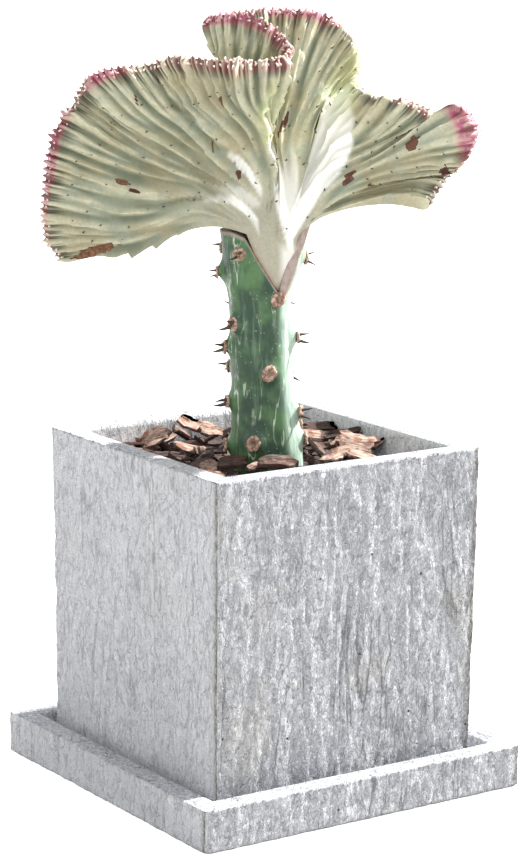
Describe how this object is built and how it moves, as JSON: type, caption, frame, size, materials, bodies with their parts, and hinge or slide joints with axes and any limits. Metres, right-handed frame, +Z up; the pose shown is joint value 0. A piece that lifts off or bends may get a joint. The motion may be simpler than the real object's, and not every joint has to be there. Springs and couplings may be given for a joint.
{
  "type": "potted crested succulent",
  "caption": "Crested fan-shaped succulent grafted on a green spiny stock, in a square cement pot with bark mulch on a square saucer.",
  "frame": {"origin": "centre of the saucer's flat underside, on the floor", "axes": "+Z up; X and Y along the sides of the square pot and saucer; the wide face of the picture is the -Y side"},
  "size_m": [0.1824, 0.1826, 0.3723],
  "materials": {
    "cement": "matte",
    "soil": "matte",
    "bark": "matte",
    "stock_skin": "satin",
    "crest_skin": "satin"
  },
  "bodies": {
    "root": {"saucer": "cement", "pot": "cement", "soil": "soil", "bark_mulch": "bark", "stock": "stock_skin", "crest": "crest_skin"}
  },
  "joints": []
}
